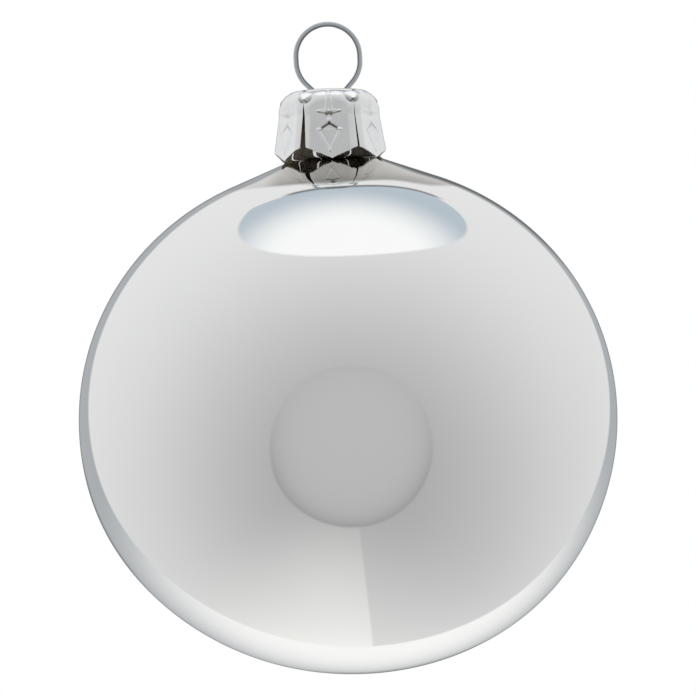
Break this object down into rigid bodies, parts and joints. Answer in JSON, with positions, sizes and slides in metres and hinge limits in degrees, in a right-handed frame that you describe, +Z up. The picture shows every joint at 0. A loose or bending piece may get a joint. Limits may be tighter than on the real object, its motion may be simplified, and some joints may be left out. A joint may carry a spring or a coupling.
{
  "type": "glass ball ornament",
  "caption": "Silvered blown glass ball with a short neck, a stamped crown cap whose tabs grip the neck, and a sprung wire hanging loop.",
  "frame": {"origin": "inside top of the wire loop, on the loop's middle plane, where a hook or branch wire bears", "axes": "+Z up along the neck and through the ball's poles, X across the loop through both wire holes, Y through the loop's eye; the row hangs below the origin, and the side shown in a front view faces -Y"},
  "size_m": [0.08, 0.08, 0.0972],
  "materials": {
    "steel_wire": "drawn and bent steel wire, blue-grey, with fine lengthwise draw marks",
    "tinplate": "bright stamped tinplate with rolling lines, creases and an embossed star and kite on each tab",
    "silvered_glass": "clear blown glass over silver, so it reads as a smooth mirror under a glossy skin",
    "silver_film": "deposited silver film, seen only through the glass or down the neck"
  },
  "bodies": {
    "hanger": {"hanger_wire": "steel_wire"},
    "crown": {"crown_cap": "tinplate"},
    "ball": {"glass_ball": "silvered_glass", "silver_lining": "silver_film"}
  },
  "joints": [
    {"name": "rock_cap_on_loop", "type": "hinge", "parent": "hanger", "child": "crown", "pos_m": [0, 0, -0.0097], "axis": [1, 0, 0], "range_deg": [-8, 8]},
    {"name": "pull_ball_off_cap", "type": "slide", "parent": "crown", "child": "ball", "axis": [0, 0, -1], "range_m": [0, 0.018]}
  ]
}
